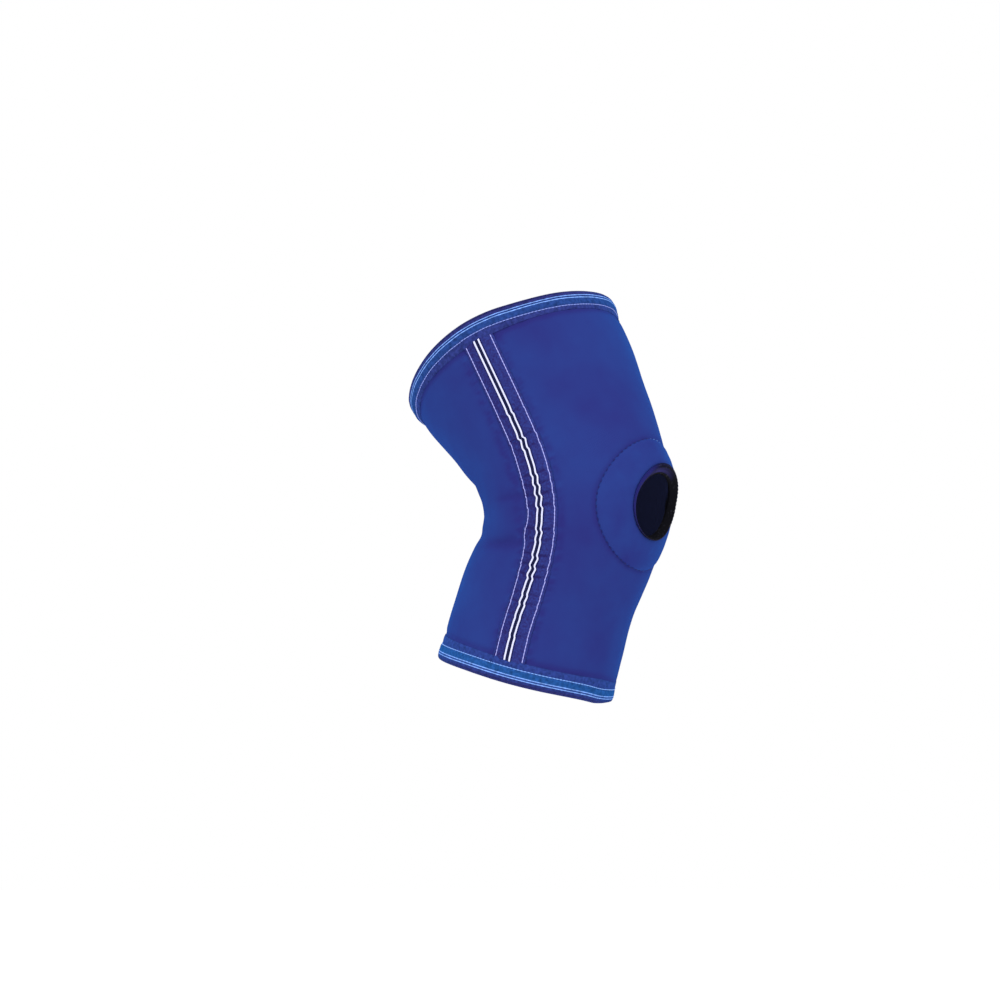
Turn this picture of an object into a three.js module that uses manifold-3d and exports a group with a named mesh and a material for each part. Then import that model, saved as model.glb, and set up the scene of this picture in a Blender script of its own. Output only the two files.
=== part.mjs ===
// Knee sleeve: a bent, open-ended tube of padded cloth with a round opening over the kneecap,
// striped folded tape over both rims and a gathered strip with a narrow ribbon down each side.
// Millimetres and degrees. +X is forward, +Z is up and -Y is the lateral side.
// The origin is on the axis of the limb, at the middle of the knee, close behind the round opening.

import * as THREE from 'three';
import { mergeVertices } from 'three/addons/utils/BufferGeometryUtils.js';
import Module from 'manifold-3d';

const wasm = await Module();
wasm.setup();

// Length of the sleeve above and below the origin, measured along the axis of the limb
const THIGH_LENGTH = 127;
const SHIN_LENGTH = 117;

// Lean of the axis away from upright, and the length of axis that the bend takes
const THIGH_LEAN = 24;
const SHIN_LEAN = 16.5;
const BEND_LENGTH = 100;

// Tilt of each rim from square to the axis, positive where its front lies higher, and how far the thigh
// rim dips further at the very back, with how sharply the dip fades downwards and round to the front
const THIGH_RIM_TILT = 1;
const SHIN_RIM_TILT = 0;
const THIGH_RIM_DIP = 10.5;
const DIP_FADE_DOWN = 3;
const DIP_FADE_ROUND = 5;

// Outer size of the sleeve, front to back and side to side
const THIGH_DEPTH = 152;
const KNEE_DEPTH = 131;
const SHIN_DEPTH = 124;
const THIGH_WIDTH = 142;
const KNEE_WIDTH = 117;
const SHIN_WIDTH = 116;

// Thickness of the shell, of the tapes and ribbons, and the gap between pieces that are sewn together,
// which is wider inside the shell, where the flat faces stand in from the true curve
const WALL = 2.8;
const TAPE = 1;
const GAP = 0.3;
const INNER_GAP = 0.5;

// Round opening, the rolled tape round it and the padded ring, with the heights of their middles
const OPENING_RADIUS = 21.5;
const OPENING_TAPE_REACH = 0.5;
const OPENING_ROLL_DROP = 1.5;
const OPENING_HEIGHT = 2.5;
const PAD_RADIUS = 43;
const PAD_HEIGHT = 1.2;
const PAD_RISE = 1.8;
const PAD_EDGE = 1;

// Width of the tape that shows at a rim, and of the part of it that is folded inside
const RIM_TAPE_WIDTH = 14;
const RIM_TURN_IN = 11;

// Side strip: width, extra height in its middle, depth and breadth of its gathers, and its ribbon's width
const STRIP_WIDTH = 25;
const STRIP_CROWN = 0.5;
const GATHER_RISE = 0.4;
const GATHER_BREADTH = 3.5;
const RIBBON_WIDTH = 6;

// Number of flat faces round the sleeve, along it, along a strip, round the opening and round a fold,
// and of rows of points along a strip and along its ribbon
const AROUND = 40;
const ALONG = 28;
const STRIP_STEPS = 58;
const RING_STEPS = 36;
const FOLD_STEPS = 4;
const STRIP_ROWS = 4;
const RIBBON_ROWS = 2;

// Sections of the sleeve from the shin rim to the thigh rim. Place is a share of the length on its side
// of the origin, front and back are shares of the depth there, width is a share of the width there.
const SECTIONS = [
  { place: -1.00, front: 0.393, back: 0.575, width: 1.00 },
  { place: -0.75, front: 0.390, back: 0.570, width: 0.97 },
  { place: -0.50, front: 0.405, back: 0.540, width: 0.96 },
  { place: -0.25, front: 0.435, back: 0.485, width: 0.97 },
  { place: 0.00, front: 0.540, back: 0.440, width: 1.00 },
  { place: 0.25, front: 0.535, back: 0.430, width: 0.98 },
  { place: 0.50, front: 0.525, back: 0.460, width: 0.98 },
  { place: 0.75, front: 0.500, back: 0.525, width: 1.00 },
  { place: 1.00, front: 0.465, back: 0.545, width: 1.00 },
];

// Soft folds across the back of the knee. Place and breadth are shares of the bend's length and depth
// is a share of the wall. Reach is the angle to each side of the back, and droop the fall at its ends.
const FOLDS = [
  { place: 0.10, depth: 0.45, breadth: 0.045, reach: 75, droop: 0.02 },
  { place: -0.03, depth: -0.40, breadth: 0.060, reach: 70, droop: 0.03 },
  { place: -0.17, depth: 0.95, breadth: 0.055, reach: 85, droop: 0.10 },
];

// Path of a side strip. Place is a share as in the sections, angle is measured from the front.
const STRIP_PATH = [
  { place: -1.0, angle: 78.5 },
  { place: -0.5, angle: 77.5 },
  { place: -0.25, angle: 78 },
  { place: 0.0, angle: 79.5 },
  { place: 0.25, angle: 82.5 },
  { place: 0.5, angle: 82.5 },
  { place: 0.75, angle: 82 },
  { place: 1.0, angle: 83.5 },
];

// Gathers across a side strip. Place is a share as in the sections, dip a share of the gather's depth,
// and shift the sideways kink as a share of the ribbon's width.
const GATHERS = [
  { place: -0.70, dip: 0.4, shift: 0.06 },
  { place: -0.55, dip: 0.6, shift: -0.10 },
  { place: -0.37, dip: 0.9, shift: 0.12 },
  { place: -0.30, dip: 0.9, shift: -0.14 },
  { place: -0.23, dip: 0.8, shift: 0.12 },
  { place: -0.11, dip: 1.0, shift: -0.14 },
  { place: 0.04, dip: 1.0, shift: 0.14 },
  { place: 0.10, dip: 0.8, shift: -0.12 },
  { place: 0.16, dip: 1.0, shift: 0.14 },
  { place: 0.22, dip: 0.8, shift: -0.10 },
  { place: 0.35, dip: 0.8, shift: 0.12 },
  { place: 0.41, dip: 0.8, shift: -0.14 },
  { place: 0.55, dip: 0.6, shift: 0.12 },
];

// Thickness of the padded ring from its inner edge to its seam. Place is a share of the way between
// the opening's tape and the seam, rise a share of the way from the edge's thickness to the pad's.
const PAD_PROFILE = [
  { place: 0.00, rise: 0.00 },
  { place: 0.12, rise: 0.60 },
  { place: 0.45, rise: 1.00 },
  { place: 0.80, rise: 0.70 },
  { place: 1.00, rise: -0.30 },
];

// Round of the rim tape's fold on its inner and its outer face, and the length that the fold takes
const FOLD_INNER = WALL / 2 + GAP;
const FOLD_OUTER = FOLD_INNER + TAPE;
const FOLD_LENGTH = FOLD_OUTER + GAP;

// Round of the opening's tape on its two faces, which also takes in the edge of the padded ring
const ROLL_TOP = PAD_EDGE + 2 * GAP;
const ROLL_BOTTOM = -WALL - INNER_GAP;
const ROLL_INNER = (ROLL_TOP - ROLL_BOTTOM) / 2;
const ROLL_OUTER = ROLL_INNER + TAPE;

// Radius of the cut in the cloth, and of the outer edge of the tape that covers it
const CUT_RADIUS = OPENING_RADIUS + ROLL_OUTER + GAP;
const COVERED_RADIUS = CUT_RADIUS + OPENING_TAPE_REACH;

const { lerp, degToRad, radToDeg, smoothstep } = THREE.MathUtils;

// Smooth curve through one column of a table, by its place column
function smoothColumn(table, column) {
  const places = table.map((row) => row.place);
  const values = table.map((row) => row[column]);
  const curve = new THREE.CubicInterpolant(places, values, 1);
  return (place) => curve.evaluate(place)[0];
}

const frontShare = smoothColumn(SECTIONS, 'front');
const backShare = smoothColumn(SECTIONS, 'back');
const widthShare = smoothColumn(SECTIONS, 'width');
const stripAngle = smoothColumn(STRIP_PATH, 'angle');

// Height along the axis for a share of the length on its side of the origin, and the share for a height
function heightAt(place) {
  return place * (place < 0 ? SHIN_LENGTH : THIGH_LENGTH);
}

function placeAt(height) {
  return height / (height < 0 ? SHIN_LENGTH : THIGH_LENGTH);
}

// Lean of the axis at a height along it, turning smoothly from the shin's to the thigh's
function leanAt(height) {
  return degToRad(lerp(-SHIN_LEAN, THIGH_LEAN, smoothstep(height, -BEND_LENGTH / 2, BEND_LENGTH / 2)));
}

// Point of the axis at a height along it, added up in short straight steps
function axisPoint(height) {
  const steps = 24;
  const point = new THREE.Vector3();
  for (let i = 0; i < steps; i += 1) {
    const lean = leanAt((height * (i + 0.5)) / steps);
    point.x -= (Math.sin(lean) * height) / steps;
    point.z += (Math.cos(lean) * height) / steps;
  }
  return point;
}

// Depth that the folds behind the knee press into the sleeve
function foldDepth(height, angle) {
  const fromBack = Math.abs(180 - (Math.abs(angle) % 360));
  let depth = 0;
  for (const fold of FOLDS) {
    const reach = Math.min(fromBack / fold.reach, 1);
    const middle = (fold.place - fold.droop * reach * reach) * BEND_LENGTH;
    const along = (height - middle) / (fold.breadth * BEND_LENGTH);
    depth += fold.depth * WALL * Math.cos((reach * Math.PI) / 2) * Math.exp(-along * along);
  }
  return depth;
}

// Fall of the surface towards the dip at the back of the thigh rim
function rimDip(height, angle) {
  const upwards = Math.max(placeAt(height), 0);
  const backwards = (1 - Math.cos(degToRad(angle))) / 2;
  return THIGH_RIM_DIP * upwards ** DIP_FADE_DOWN * backwards ** DIP_FADE_ROUND;
}

// Point of the sleeve's outer surface. The angle runs from the front round by the lateral side.
function outerPoint(squareHeight, angle) {
  const height = squareHeight - rimDip(squareHeight, angle);
  const place = placeAt(height);
  const depth = lerp(KNEE_DEPTH, place < 0 ? SHIN_DEPTH : THIGH_DEPTH, Math.abs(place));
  const width = lerp(KNEE_WIDTH, place < 0 ? SHIN_WIDTH : THIGH_WIDTH, Math.abs(place));
  const turn = degToRad(angle);
  const share = Math.cos(turn) > 0 ? frontShare(place) : backShare(place);
  const pressed = foldDepth(height, angle);
  const forward = (depth * share - pressed) * Math.cos(turn);
  const sideways = ((width * widthShare(place)) / 2 - pressed) * Math.sin(turn);
  const tilt = place < 0 ? SHIN_RIM_TILT : THIGH_RIM_TILT;
  const lean = leanAt(height) + degToRad(tilt) * place ** 2;
  const point = axisPoint(height);
  point.x += forward * Math.cos(lean);
  point.y -= sideways;
  point.z += forward * Math.sin(lean);
  return point;
}

// Outward direction of the surface, from two short steps along it
function outward(height, angle) {
  const step = 0.5;
  const along = outerPoint(height + step, angle).sub(outerPoint(height - step, angle));
  const around = outerPoint(height, angle + step).sub(outerPoint(height, angle - step));
  return along.cross(around).normalize();
}

// Point above the outer surface, or below it for a negative rise
function raised(height, angle, rise) {
  return outerPoint(height, angle).addScaledVector(outward(height, angle), rise);
}

// Height and angle of the outer surface where it is seen from the front at y and z,
// found by correcting a first guess a few times
function placeFromFront(y, z) {
  const passes = 8;
  const step = 0.1;
  let height = z;
  let angle = radToDeg(Math.atan(-2 * y / KNEE_WIDTH));
  for (let i = 0; i < passes; i += 1) {
    const here = outerPoint(height, angle);
    const along = outerPoint(height + step, angle).sub(here).divideScalar(step);
    const around = outerPoint(height, angle + step).sub(here).divideScalar(step);
    const [missY, missZ] = [y - here.y, z - here.z];
    const scale = along.y * around.z - around.y * along.z;
    height += (missY * around.z - around.y * missZ) / scale;
    angle += (along.y * missZ - missY * along.z) / scale;
  }
  return { height, angle };
}

// Point on a circle seen from the front, by the height of its middle, raised above the outer surface
function ringPoint(middle, radius, turn, rise) {
  const place = placeFromFront(radius * Math.cos(turn), middle + radius * Math.sin(turn));
  return raised(place.height, place.angle, rise);
}

// Grid of points made by a function of row and column
function grid(rows, columns, pointAt) {
  return Array.from({ length: rows }, (_, row) => (
    Array.from({ length: columns }, (__, column) => pointAt(row, column))));
}

function geometryOf(points, index) {
  const geometry = new THREE.BufferGeometry();
  geometry.setAttribute('position', new THREE.Float32BufferAttribute(points.flatMap((p) => p.toArray()), 3));
  geometry.setIndex(index);
  return geometry;
}

// Closed solid between two facing grids of points. The face looks out where its rows run up and its
// columns run round by the lateral side. Where the grid wraps, the end of each row meets its start.
function slab(face, back, wraps) {
  const rows = face.length;
  const columns = face[0].length;
  const spans = wraps ? columns : columns - 1;
  const index = [];
  const corner = (side, row, column) => (side * rows + row) * columns + (column % columns);
  const quad = (a, b, c, d) => index.push(a, b, c, a, c, d);
  for (let i = 0; i < rows - 1; i += 1) {
    for (let j = 0; j < spans; j += 1) {
      quad(corner(0, i, j), corner(0, i + 1, j), corner(0, i + 1, j + 1), corner(0, i, j + 1));
      quad(corner(1, i, j), corner(1, i, j + 1), corner(1, i + 1, j + 1), corner(1, i + 1, j));
    }
  }
  const last = rows - 1;
  for (let j = 0; j < spans; j += 1) {
    quad(corner(0, 0, j), corner(0, 0, j + 1), corner(1, 0, j + 1), corner(1, 0, j));
    quad(corner(0, last, j), corner(1, last, j), corner(1, last, j + 1), corner(0, last, j + 1));
  }
  for (let i = 0; i < last && !wraps; i += 1) {
    quad(corner(0, i, 0), corner(1, i, 0), corner(1, i + 1, 0), corner(0, i + 1, 0));
    quad(corner(0, i, spans), corner(0, i + 1, spans), corner(1, i + 1, spans), corner(1, i, spans));
  }
  return geometryOf([...face.flat(), ...back.flat()], index);
}

// Closed plug between two rings of points, each closed to a middle point
function plug(top, bottom, topMiddle, bottomMiddle) {
  const count = top.length;
  const index = [];
  for (let i = 0; i < count; i += 1) {
    const next = (i + 1) % count;
    index.push(i, count + i, count + next, i, count + next, next);
    index.push(2 * count, i, next);
    index.push(2 * count + 1, count + next, count + i);
  }
  return geometryOf([...top, ...bottom, topMiddle, bottomMiddle], index);
}

// Solid for cutting, from a closed geometry, and the geometry of such a solid
function toSolid(geometry) {
  const merged = mergeVertices(geometry);
  return new wasm.Manifold(new wasm.Mesh({
    numProp: 3,
    vertProperties: new Float32Array(merged.attributes.position.array),
    triVerts: new Uint32Array(merged.index.array),
  }));
}

function fromSolid(solid) {
  const mesh = solid.getMesh();
  const geometry = new THREE.BufferGeometry();
  geometry.setAttribute('position', new THREE.BufferAttribute(mesh.vertProperties, 3));
  geometry.setIndex(new THREE.BufferAttribute(mesh.triVerts, 1));
  return geometry;
}

const aroundAngle = (column) => (column * 360) / AROUND;
const ringTurn = (column) => (column * 2 * Math.PI) / RING_STEPS;

// Tube of the shell, from rim to rim inside the folds of the tapes
function shellTube() {
  const low = -SHIN_LENGTH + FOLD_LENGTH;
  const high = THIGH_LENGTH - FOLD_LENGTH;
  const side = (rise) => grid(ALONG + 1, AROUND, (row, column) => (
    raised(lerp(low, high, row / ALONG), aroundAngle(column), rise)));
  return slab(side(0), side(-WALL), true);
}

// Plug that cuts the round opening square to the surface
function openingPlug() {
  const at = (radius, column, rise) => ringPoint(OPENING_HEIGHT, radius, ringTurn(column), rise);
  const ring = (rise) => grid(1, RING_STEPS, (_, column) => at(CUT_RADIUS, column, rise))[0];
  return plug(ring(WALL), ring(-2 * WALL), at(0, 0, WALL), at(0, 0, -2 * WALL));
}

function sleeveBody() {
  return fromSolid(toSolid(shellTube()).subtract(toSolid(openingPlug())));
}

// Ring round the opening from rows of middle, radius and rise for its face and its back
function ringSlab(face, back) {
  const side = (rows) => grid(rows.length, RING_STEPS, (row, column) => (
    ringPoint(rows[row].middle, rows[row].radius, ringTurn(column), rows[row].rise)));
  return slab(side(face), side(back), true);
}

function kneeRingPad() {
  const start = COVERED_RADIUS + GAP;
  const crown = PAD_PROFILE.map(({ place, rise }) => ({
    middle: lerp(OPENING_HEIGHT, PAD_HEIGHT, place),
    radius: lerp(start, PAD_RADIUS, place),
    rise: GAP + lerp(PAD_EDGE, PAD_RISE, rise),
  }));
  const face = [{ middle: OPENING_HEIGHT, radius: CUT_RADIUS, rise: GAP + PAD_EDGE }, ...crown];
  return ringSlab(face, face.map((row) => ({ ...row, rise: GAP })));
}

// One face of the opening's tape: out under the shell, round the roll and out over the pad's edge
function rolledRows(round) {
  const middle = (ROLL_TOP + ROLL_BOTTOM) / 2;
  const rows = [{ radius: COVERED_RADIUS, rise: middle - round }];
  for (let i = 0; i <= FOLD_STEPS; i += 1) {
    const turn = (i * Math.PI) / FOLD_STEPS;
    const radius = OPENING_RADIUS + ROLL_OUTER - round * Math.sin(turn);
    rows.push({ radius, rise: middle - round * Math.cos(turn) });
  }
  rows.push({ radius: COVERED_RADIUS, rise: middle + round });
  const inward = (row) => (COVERED_RADIUS - row.radius) / (COVERED_RADIUS - OPENING_RADIUS);
  return rows.map((row) => ({ ...row, middle: OPENING_HEIGHT - OPENING_ROLL_DROP * inward(row) }));
}

function openingBinding() {
  return ringSlab(rolledRows(ROLL_OUTER), rolledRows(ROLL_INNER));
}

// One face of the rim tape as rows of distance from the sleeve's end and rise: up the outside,
// round the fold and down the inside
function foldedRows(round) {
  const middle = -WALL / 2;
  const rows = [{ end: RIM_TAPE_WIDTH, rise: middle + round }];
  for (let i = 0; i <= FOLD_STEPS; i += 1) {
    const turn = (i * Math.PI) / FOLD_STEPS;
    rows.push({ end: FOLD_OUTER - round * Math.sin(turn), rise: middle + round * Math.cos(turn) });
  }
  rows.push({ end: RIM_TURN_IN, rise: middle - round });
  return rows;
}

// Tape folded over a rim. The sign is 1 at the thigh and -1 at the shin.
function rimBinding(sign) {
  const length = sign > 0 ? THIGH_LENGTH : SHIN_LENGTH;
  const side = (round) => {
    const rows = sign > 0 ? foldedRows(round) : foldedRows(round).reverse();
    return grid(rows.length, AROUND, (row, column) => (
      raised(sign * (length - rows[row].end), aroundAngle(column), rows[row].rise)));
  };
  return slab(side(FOLD_OUTER), side(FOLD_INNER), true);
}

// Sum over the gathers near a height of one of their columns, each fading along the strip
function gatherSum(height, column) {
  const near = (gather) => Math.exp(-(((height - heightAt(gather.place)) / GATHER_BREADTH) ** 2));
  return GATHERS.reduce((sum, gather) => sum + gather[column] * near(gather), 0);
}

// Rise of a strip's top over the shell, by height and by distance across from its middle line
function stripTop(height, across) {
  const crown = STRIP_CROWN * (1 - (2 * across / STRIP_WIDTH) ** 2);
  return GAP + TAPE + crown - GATHER_RISE * gatherSum(height, 'dip');
}

// Length over the outer surface for one degree round it
function lengthPerDegree(height, angle) {
  return outerPoint(height, angle + 0.5).distanceTo(outerPoint(height, angle - 0.5));
}

// Point on or over a strip, by distance across from its middle line. The sign is 1 on the lateral side.
function stripPoint(sign, height, across, rise) {
  const middle = sign * stripAngle(placeAt(height));
  const shift = sign * RIBBON_WIDTH * gatherSum(height, 'shift');
  return raised(height, middle + (across + shift) / lengthPerDegree(height, middle), rise);
}

// Band along a strip's path between the two rim tapes, from its width, its rows of points and the rise
// of its top and base
function band(sign, width, rows, topRise, baseRise) {
  const low = -SHIN_LENGTH + RIM_TAPE_WIDTH + GAP;
  const high = THIGH_LENGTH - RIM_TAPE_WIDTH - GAP;
  const side = (riseAt) => grid(STRIP_STEPS + 1, rows, (step, row) => {
    const height = lerp(low, high, step / STRIP_STEPS);
    const across = width * (row / (rows - 1) - 0.5);
    return stripPoint(sign, height, across, riseAt(height, across));
  });
  return slab(side(topRise), side(baseRise), false);
}

function stayStrip(sign) {
  return band(sign, STRIP_WIDTH, STRIP_ROWS, stripTop, () => GAP);
}

function stripeRibbon(sign) {
  const base = (height, across) => stripTop(height, across) + GAP;
  return band(sign, RIBBON_WIDTH, RIBBON_ROWS, (height, across) => base(height, across) + TAPE, base);
}

const JERSEY_BLUE = { color: '#2e3c8a', roughness: 0.85, metalness: 0 };
const PAD_BLUE = { color: '#2e428d', roughness: 0.85, metalness: 0 };
const RIM_BLUE = { color: '#2b4f96', roughness: 0.8, metalness: 0 };
const TAPE_BLACK = { color: '#17171a', roughness: 0.6, metalness: 0 };
const RIBBON_WHITE = { color: '#e6e9f8', roughness: 0.7, metalness: 0 };

const sleeve = new THREE.Group();

function addPiece(name, geometry, finish) {
  const piece = new THREE.Mesh(geometry, new THREE.MeshStandardMaterial(finish));
  piece.name = name;
  sleeve.add(piece);
}

addPiece('sleeve_body', sleeveBody(), JERSEY_BLUE);
addPiece('knee_ring_pad', kneeRingPad(), PAD_BLUE);
addPiece('opening_binding', openingBinding(), TAPE_BLACK);
addPiece('top_binding', rimBinding(1), RIM_BLUE);
addPiece('bottom_binding', rimBinding(-1), RIM_BLUE);
addPiece('lateral_stay_strip', stayStrip(1), JERSEY_BLUE);
addPiece('medial_stay_strip', stayStrip(-1), JERSEY_BLUE);
addPiece('lateral_stripe_ribbon', stripeRibbon(1), RIBBON_WHITE);
addPiece('medial_stripe_ribbon', stripeRibbon(-1), RIBBON_WHITE);

export default sleeve;
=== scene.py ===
# %% [markdown]
# # A knee sleeve, cut flat and sewn round
# A knee sleeve is a short tube of padded cloth that is worn stretched and bent. This lesson makes it as a
# sewing room does: each piece is cut flat, given its relief, and then bent into place by one rule.
# We could sculpt the whole thing from one blob, but separate flat pieces keep the weave and the
# stripes straight on the cloth, and they leave real edges, seams and stitches to look at.

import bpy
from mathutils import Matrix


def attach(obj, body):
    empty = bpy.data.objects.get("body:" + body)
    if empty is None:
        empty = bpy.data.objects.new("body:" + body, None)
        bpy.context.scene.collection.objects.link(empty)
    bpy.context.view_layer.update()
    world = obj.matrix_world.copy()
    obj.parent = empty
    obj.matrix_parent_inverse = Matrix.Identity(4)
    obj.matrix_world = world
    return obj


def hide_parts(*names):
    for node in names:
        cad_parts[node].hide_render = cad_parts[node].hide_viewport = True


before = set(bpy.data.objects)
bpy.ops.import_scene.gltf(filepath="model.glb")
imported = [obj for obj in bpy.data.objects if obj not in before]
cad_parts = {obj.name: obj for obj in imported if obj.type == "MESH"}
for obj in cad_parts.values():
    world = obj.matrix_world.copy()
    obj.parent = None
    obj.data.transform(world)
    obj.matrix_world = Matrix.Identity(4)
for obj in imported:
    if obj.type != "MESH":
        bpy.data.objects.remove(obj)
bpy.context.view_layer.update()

import math

import bmesh
import bpy
import numpy as np
from mathutils import Matrix, Vector

print("CAD nodes:", ", ".join(sorted(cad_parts)))

# %% [markdown]
# ## Camera
# The photo looks at the outer side of the bent sleeve from slightly below and from far away, so that it
# hardly narrows with distance. We place the camera by two angles and a distance from the origin, and
# choose the lens so that one millimetre at the origin has its size in the photo. Moving the lens a
# little sideways, with the shift, puts the origin at its pixel without turning the camera.

# %% Camera
MM = 0.001
IMAGE_SIZE = 1000
SENSOR = 36 * MM
CAMERA_AZIMUTH, CAMERA_ELEVATION = math.radians(32.0), math.radians(-6.4)
CAMERA_DISTANCE = 1.9
PIXEL = 0.67 * MM
ORIGIN_PIXEL = (570.6, 512.0)

camera_data = bpy.data.cameras.new("camera")
camera_data.sensor_width = SENSOR / MM
camera_data.lens = SENSOR / MM * CAMERA_DISTANCE / (PIXEL * IMAGE_SIZE)
camera_data.shift_x = 0.5 - ORIGIN_PIXEL[0] / IMAGE_SIZE
camera_data.shift_y = ORIGIN_PIXEL[1] / IMAGE_SIZE - 0.5
camera = bpy.data.objects.new("camera", camera_data)
towards_camera = Vector((
    math.sin(CAMERA_AZIMUTH) * math.cos(CAMERA_ELEVATION),
    -math.cos(CAMERA_AZIMUTH) * math.cos(CAMERA_ELEVATION),
    math.sin(CAMERA_ELEVATION),
))
camera.location = towards_camera * CAMERA_DISTANCE
camera.rotation_euler = towards_camera.to_track_quat("Z", "Y").to_euler()
bpy.context.scene.collection.objects.link(camera)
bpy.context.scene.camera = camera
print(f"lens {camera_data.lens:.1f} mm at {CAMERA_DISTANCE} m")

# %% [markdown]
# ## The shape of the sleeve, as one rule
# Every piece lies on one surface: a tube round a bent axis. A short table gives how deep and how wide
# the tube is at nine places, as shares of the main sizes, and a smooth curve joins them. One function
# then turns a height along the axis and an angle round it into a point. Doing this with arrays, for all
# points of a piece in one call, keeps the script quick.

# %% Sizes of the sleeve
THIGH_LENGTH, SHIN_LENGTH = 127 * MM, 117 * MM
THIGH_LEAN, SHIN_LEAN = math.radians(24), math.radians(16.5)
BEND_LENGTH = 100 * MM
THIGH_RIM_TILT = math.radians(1)
THIGH_RIM_DIP = 10.5 * MM
THIGH_DEPTH, KNEE_DEPTH, SHIN_DEPTH = 152 * MM, 131 * MM, 124 * MM
THIGH_WIDTH, KNEE_WIDTH, SHIN_WIDTH = 142 * MM, 117 * MM, 116 * MM
WALL = 2.8 * MM


def named_rows(columns, rows):
    """Rows of a table with the names of their columns."""
    return [dict(zip(columns.split(), row)) for row in rows]


# Place is a share of the length on its side of the bend, front and back are shares of the depth there,
# and width is a share of the width there
SECTIONS = named_rows("place front back width", [
    (-1.00, 0.395, 0.575, 1.00),
    (-0.75, 0.395, 0.570, 0.97),
    (-0.50, 0.396, 0.540, 0.96),
    (-0.25, 0.451, 0.485, 0.97),
    (0.00, 0.533, 0.441, 1.00),
    (0.25, 0.529, 0.429, 0.98),
    (0.50, 0.519, 0.468, 0.98),
    (0.75, 0.508, 0.530, 1.00),
    (1.00, 0.465, 0.545, 1.00),
])

# Soft folds round the sides and the back of the bend. Place, breadth and droop are shares of the bend's
# length, and depth is a share of the wall. Middle and reach are angles from the back, droop is the fall
# over one reach towards the front, and shade says how dark the fold looks.
FOLDS = named_rows("place breadth droop depth shade middle reach", [
    (0.058, 0.030, 0.010, 0.35, 0.35, 81, 13),
    (-0.290, 0.050, -0.035, 0.70, 0.70, 72, 19),
    (0.420, 0.080, 0.0, 0.42, 0.00, 15, 60),
    (-0.250, 0.080, 0.0, 0.45, 0.10, 15, 60),
])
print(f"{len(SECTIONS)} sections and {len(FOLDS)} folds over {(THIGH_LENGTH + SHIN_LENGTH) / MM:.0f} mm")

# %% Smooth curve through a table's column
def smooth_column(table, column):
    """Smooth curve through one column of a table, by its place column."""
    places = np.array([row["place"] for row in table])
    values = np.array([row[column] for row in table])
    secants = np.diff(values) / np.diff(places)
    slopes = np.concatenate([secants[:1], (secants[1:] + secants[:-1]) / 2, secants[-1:]])

    def curve(place):
        place = np.clip(place, places[0], places[-1])
        i = np.clip(np.searchsorted(places, place, side="right") - 1, 0, len(secants) - 1)
        width = places[i + 1] - places[i]
        p = (place - places[i]) / width
        start = (1 + 2 * p) * (1 - p) ** 2 * values[i] + p * (1 - p) ** 2 * width * slopes[i]
        end = p ** 2 * (3 - 2 * p) * values[i + 1] - p ** 2 * (1 - p) * width * slopes[i + 1]
        return start + end

    return curve


def smooth_step(values, low, high):
    """0 below low, 1 above high, and a smooth rise between."""
    p = np.clip((values - low) / (high - low), 0, 1)
    return p * p * (3 - 2 * p)


front_share = smooth_column(SECTIONS, "front")
back_share = smooth_column(SECTIONS, "back")
width_share = smooth_column(SECTIONS, "width")

# %% Surface of the sleeve
def place_at(height):
    """Share of the sleeve's length on that side of the bend."""
    return height / np.where(height < 0, SHIN_LENGTH, THIGH_LENGTH)


def lean_at(height):
    """Lean of the sleeve's axis, turning smoothly from its lower part to its upper part."""
    return -SHIN_LEAN + (THIGH_LEAN + SHIN_LEAN) * smooth_step(height, -BEND_LENGTH / 2, BEND_LENGTH / 2)


def axis_point(height):
    """x and z of the sleeve's axis, added up in short straight steps."""
    steps = 24
    x, z = np.zeros_like(height), np.zeros_like(height)
    for i in range(steps):
        lean = lean_at(height * (i + 0.5) / steps)
        x -= np.sin(lean) * height / steps
        z += np.cos(lean) * height / steps
    return x, z


def fold_depth(height, angle, column="depth"):
    """Depth that the folds press into the sleeve, or their shade in the same way."""
    from_back = np.abs(180 - np.abs(angle) % 360)
    depth = np.zeros_like(height)
    for fold in FOLDS:
        reach = (from_back - fold["middle"]) / fold["reach"]
        middle = (fold["place"] - fold["droop"] * reach) * BEND_LENGTH
        along = (height - middle) / (fold["breadth"] * BEND_LENGTH)
        depth += fold[column] * WALL * np.exp(-reach ** 2 - along ** 2)
    return depth


def outer_point(height, angle):
    """Points of the outer surface. The angle, in degrees, runs from the front round to the outer side."""
    height, angle = np.broadcast_arrays(np.asarray(height, float), np.asarray(angle, float))
    turn = np.radians(angle)
    upwards = np.maximum(place_at(height), 0)
    height = height - THIGH_RIM_DIP * upwards ** 3 * ((1 - np.cos(turn)) / 2) ** 5
    place = place_at(height)
    share = np.abs(place)
    depth = KNEE_DEPTH + share * (np.where(place < 0, SHIN_DEPTH, THIGH_DEPTH) - KNEE_DEPTH)
    width = KNEE_WIDTH + share * (np.where(place < 0, SHIN_WIDTH, THIGH_WIDTH) - KNEE_WIDTH)
    pressed = fold_depth(height, angle)
    half = np.where(np.cos(turn) > 0, front_share(place), back_share(place))
    forward = (depth * half - pressed) * np.cos(turn)
    sideways = (width * width_share(place) / 2 - pressed) * np.sin(turn)
    lean = lean_at(height) + np.where(place < 0, 0, THIGH_RIM_TILT) * place ** 2
    x, z = axis_point(height)
    return np.stack([x + forward * np.cos(lean), -sideways, z + forward * np.sin(lean)], axis=-1)


def outward(height, angle):
    """Outward direction of the surface, from two short steps along it."""
    step = 0.5
    along = outer_point(height + step * MM, angle) - outer_point(height - step * MM, angle)
    around = outer_point(height, angle + step) - outer_point(height, angle - step)
    normal = np.cross(along, around)
    return normal / np.linalg.norm(normal, axis=-1, keepdims=True)


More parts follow.
